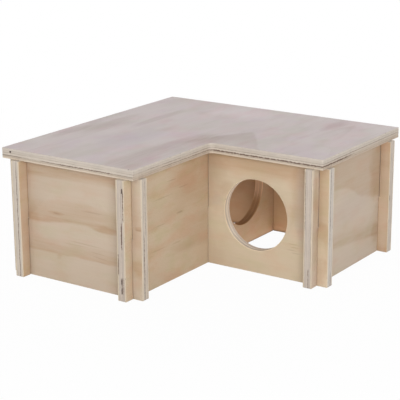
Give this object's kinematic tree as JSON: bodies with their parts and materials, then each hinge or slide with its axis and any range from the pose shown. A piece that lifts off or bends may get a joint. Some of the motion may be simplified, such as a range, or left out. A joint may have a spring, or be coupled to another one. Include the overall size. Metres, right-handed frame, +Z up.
{
  "type": "hamster house",
  "caption": "L-shaped plywood hamster house: crossing walls slotted together, with tabs past each corner, round doorways between rooms and a loose lift-off lid.",
  "frame": {"origin": "on the ground under the middle of the overall box, where the middle wall crosses the entrance wall", "axes": "+Z up, -Y the front that the entrance faces, +X to the right along the entrance wall"},
  "size_m": [0.279, 0.2796, 0.124],
  "materials": {
    "wall_plywood": "bare sanded birch plywood",
    "lid_plywood": "bare sanded plywood with a pale, slightly pink face",
    "batten_softwood": "bare planed softwood"
  },
  "bodies": {
    "house": {"front_wall": "wall_plywood", "entrance_wall": "wall_plywood", "back_wall": "wall_plywood", "left_wall": "wall_plywood", "middle_wall": "wall_plywood", "right_wall": "wall_plywood"},
    "lid": {"lid_panel": "lid_plywood", "lid_batten_front": "batten_softwood", "lid_batten_left": "batten_softwood", "lid_batten_right": "batten_softwood", "lid_batten_back": "batten_softwood"}
  },
  "joints": [
    {"name": "lid_lift", "type": "slide", "parent": "house", "child": "lid", "axis": [0, 0, 1], "range_m": [0, 0.15]}
  ]
}
